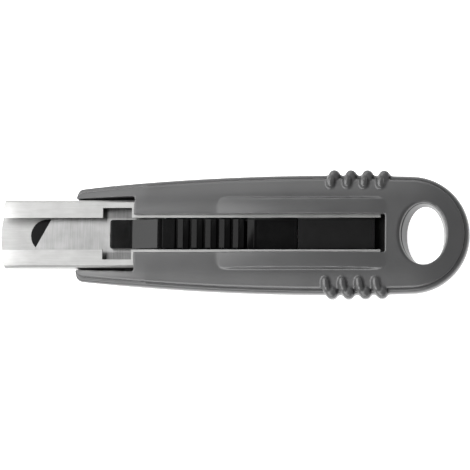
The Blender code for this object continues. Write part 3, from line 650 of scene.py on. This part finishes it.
def finger_beads(side, first_x, reach, lean):
    """The slim front ends of the bars on one long edge."""
    beads = []
    for i in range(BAR_COUNT):
        x = first_x + i * BAR_PITCH - BAR_LEAD
        half = side_y(x)
        top = SEAM_Z + 0.4 * (crown_z(x) - SEAM_Z) + 0.1 * MM
        path = [(x, side * (half - reach - 0.05 * MM), top - 0.2 * MM, 0.15 * BAR_R),
                (x, side * (half - reach), top - 0.1 * MM, 0.75 * BAR_R),
                (x, side * (half - reach + 0.8 * MM), top, BAR_R),
                (x + 0.3 * lean, side * (half - 2.0 * MM), top - 0.1 * MM, BAR_R),
                (x + 0.7 * lean, side * (half - 1.0 * MM), SEAM_Z + 0.3 * MM, 0.95 * BAR_R),
                (x + 0.9 * lean, side * (half - 0.5 * MM), SEAM_Z - 0.4 * MM, 0.8 * BAR_R),
                (x + lean, side * (half - 0.4 * MM), SEAM_Z - 0.9 * MM, 0.3 * BAR_R)]
        beads.append(bead("bead", path))
    return beads


def finger_knobs(side, first_x, lean):
    """The thick outer ends of the bars on one long edge."""
    knobs = []
    for i in range(BAR_COUNT):
        x = first_x + i * BAR_PITCH + lean
        outer = side * (side_y(x) + BAR_PROUD - KNOB_R)
        inner = side * (side_y(x) - 2.2 * MM)
        top = SEAM_Z + KNOB_TOP
        path = [(x, outer, top, 0.1 * KNOB_R), (x, outer, top - 0.1 * MM, 0.6 * KNOB_R),
                (x, outer, top - 0.7 * MM, 0.9 * KNOB_R),
                (x, outer, SEAM_Z - 0.3 * MM, KNOB_R), (x, outer, BELT_Z, KNOB_R),
                (x, outer, BELT_Z - 1.9 * MM, KNOB_R),
                (x - 0.3 * lean, outer, 2.7 * MM, 0.85 * KNOB_R),
                (x - 0.6 * lean, (outer + inner) / 2, 1.6 * MM, 0.5 * KNOB_R),
                (x - 0.8 * lean, inner, 1.2 * MM, 0.2 * KNOB_R)]
        knobs.append(bead("knob", path))
    return knobs


def above_seam(shift):
    """All that lies above the seam, as a block with a bent underside."""
    keep = block("above_seam", (arm_tip_x - OUTSIDE, -OUTSIDE, SEAM_Z + shift),
                 (ring_x + OUTSIDE, OUTSIDE, SEAM_Z + OUTSIDE))
    bpy.ops.object.mode_set(mode='EDIT')
    for x in (arm_tip_x, SEAM_KNEE_X):
        bpy.ops.mesh.select_all(action='SELECT')
        bpy.ops.mesh.bisect(plane_co=(x, 0, 0), plane_no=(1, 0, 0))
    pick(keep, lambda p: p.x < arm_tip_x + 0.1 * MM and p.z < SEAM_Z + 2 * MM)
    bpy.ops.transform.translate(value=(0, 0, -SEAM_DROP))
    bpy.ops.object.mode_set(mode='OBJECT')
    return keep


def hole_plug():
    """The hanging hole as a solid: waist near the back, sloping walls, rim rolled outwards."""
    top = crown_z(HOLE_X)
    waist = (WAIST_HALF_X / HOLE_HALF_X, WAIST_HALF_Y / HOLE_HALF_Y, WAIST_SHIFT)
    profile = [(-1 * MM, 0.94, 0.98, 0.0), (WAIST_Z, *waist), (WAIST_Z + 0.8 * MM, *waist),
               (top - 1.2 * MM, 0.95, 0.96, 0.0), (top - 0.5 * MM, 0.985, 0.985, 0.0),
               (top - 0.15 * MM, 1.02, 1.015, 0.0), (top + 0.05 * MM, 1.07, 1.055, 0.0),
               (top + 1.5 * MM, 1.08, 1.06, 0.0)]
    bpy.ops.object.select_all(action='DESELECT')
    bpy.ops.mesh.primitive_circle_add(vertices=96, radius=1, fill_type='NGON',
                                      location=(HOLE_X, 0, profile[0][0]))
    hole = bpy.context.active_object
    hole.name = "hole_plug"
    hole.scale = (HOLE_HALF_X * profile[0][1], HOLE_HALF_Y * profile[0][2], 1)
    only(hole)
    bpy.ops.object.transform_apply(location=True, rotation=True, scale=True)
    bpy.ops.object.mode_set(mode='EDIT')
    bpy.ops.mesh.select_all(action='SELECT')
    before = profile[0]
    for z, wide, long, shift in profile[1:]:
        move = (shift - before[3], 0, z - before[0])
        bpy.ops.mesh.extrude_region_move(TRANSFORM_OT_translate={"value": move})
        bpy.ops.transform.resize(value=(wide / before[1], long / before[2], 1),
                                 center_override=(HOLE_X + shift, 0, z))
        before = (z, wide, long, shift)
    bpy.ops.mesh.select_all(action='SELECT')
    bpy.ops.mesh.normals_make_consistent(inside=False)
    bpy.ops.object.mode_set(mode='OBJECT')
    return hole


def mouth_cutter():
    """Room between the arms for the channel."""
    mouth = block("mouth", (arm_tip_x - 5 * MM, -MOUTH_HALF, BACK_WALL), (STEP_X, MOUTH_HALF, OUTSIDE))
    bpy.ops.object.mode_set(mode='EDIT')
    pick(mouth, lambda p: p.x < arm_tip_x)
    bpy.ops.transform.resize(value=(1, MOUTH_TIP_HALF / MOUTH_HALF, 1), center_override=(0, 0, 0))
    bpy.ops.object.mode_set(mode='OBJECT')
    return mouth


def bay_cutter(ceiling_z):
    """Room for the channel behind the arms."""
    return block("bay", (STEP_X - BAY_LEAD, -BAY_HALF, BACK_WALL), (SLOT_END_X, BAY_HALF, ceiling_z))


def slot_cutter():
    return block("slot", (STEP_X - BAY_LEAD, -SLOT_HALF, SLOT_FLOOR_Z), (SLOT_END_X, SLOT_HALF, OUTSIDE))


def make_handle(plastic):
    handle = handle_blank()
    bars = finger_beads(1, UPPER_BAR_X, UPPER_REACH, UPPER_BEAD_LEAN)
    bars += finger_beads(-1, LOWER_BAR_X, LOWER_REACH, LOWER_BEAD_LEAN)
    bars += finger_knobs(1, UPPER_BAR_X, UPPER_KNOB_LEAN)
    bars += finger_knobs(-1, LOWER_BAR_X, LOWER_KNOB_LEAN)
    for bar in bars:
        combine(handle, bar, 'UNION')
    combine(handle, mouth_cutter())
    combine(handle, hole_plug())
    front = copied(handle, "front_handle_half")
    combine(front, above_seam(GAP / 2), 'INTERSECT')
    combine(front, bay_cutter(lip_z + LIP_ROOM))
    combine(front, slot_cutter())
    moulded(front, FRONT_GRAIN, FRONT_ROUNDS)
    only(front)
    bpy.ops.object.shade_smooth()
    stand_for(front, "front_shell", plastic)
    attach(front, "handle")

    combine(handle, above_seam(-GAP / 2))
    combine(handle, bay_cutter(OUTSIDE))
    handle.name = "back_handle_half"
    moulded(handle, BACK_GRAIN, BACK_ROUNDS)
    only(handle)
    bpy.ops.object.shade_smooth()
    stand_for(handle, "back_shell", plastic)
    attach(handle, "handle")


def refined(node, finish, width, crisp=30):
    """A CAD node's shape standing for that node, with its edges bevelled if a width is given."""
    piece = copied(nodes[node], node + "_finished")
    only(piece)
    bpy.ops.object.mode_set(mode='EDIT')
    bpy.ops.mesh.select_all(action='SELECT')
    bpy.ops.mesh.remove_doubles(threshold=0.002 * MM)
    bpy.ops.mesh.dissolve_limited(angle_limit=math.radians(0.5))
    bpy.ops.object.mode_set(mode='OBJECT')
    bpy.ops.object.shade_smooth_by_angle(angle=math.radians(crisp))
    if width:
        finish_with(piece, 'BEVEL', width=width, segments=2, limit_method='ANGLE',
                    angle_limit=math.radians(35), use_clamp_overlap=True, harden_normals=True)
    stand_for(piece, node, finish)
    return piece


def make_rear_stop(finish):
    """The rear stop, with its low plate drawn out under the slot's end."""
    piece = refined("rear_stop", finish, EDGE_BEVEL)
    plate_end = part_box("rear_stop")[1].x
    pick(piece, lambda p: p.x > plate_end - 0.3 * MM)
    bpy.ops.transform.translate(value=(STOP_PLATE_REACH, 0, 0))
    bpy.ops.object.mode_set(mode='OBJECT')
    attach(piece, "handle")


def make_spring(finish):
    """The return spring, stretched between the handle's post and the sled's."""
    piece = refined("return_spring", finish, 0.0)
    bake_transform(piece)


def main():
    make_floor()
    make_lights()
    make_handle(grey_plastic())
    matt = black_plastic("matt black plastic", 0.08, 0.16)
    glossy = black_plastic("glossy black plastic", 0.22, 0.08)
    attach(refined("blade_carrier", matt, EDGE_BEVEL), "slide")
    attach(refined("thumb_slider", matt, EDGE_BEVEL), "slide")
    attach(refined("release_flap", glossy, EDGE_BEVEL, crisp=5), "flap")
    make_rear_stop(black_plastic("smooth black plastic", 0.13, 0.32))
    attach(refined("blade_channel", rolled_steel(), 0.0), "handle")
    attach(refined("blade", ground_steel(), 0.0), "slide")
    fixing = plated_steel()
    make_spring(fixing)
    for node in nodes:
        if "screw" in node or "rivet" in node or node == "flap_pin":
            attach(refined(node, fixing, 0.0), nodes[node]["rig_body"])


main()
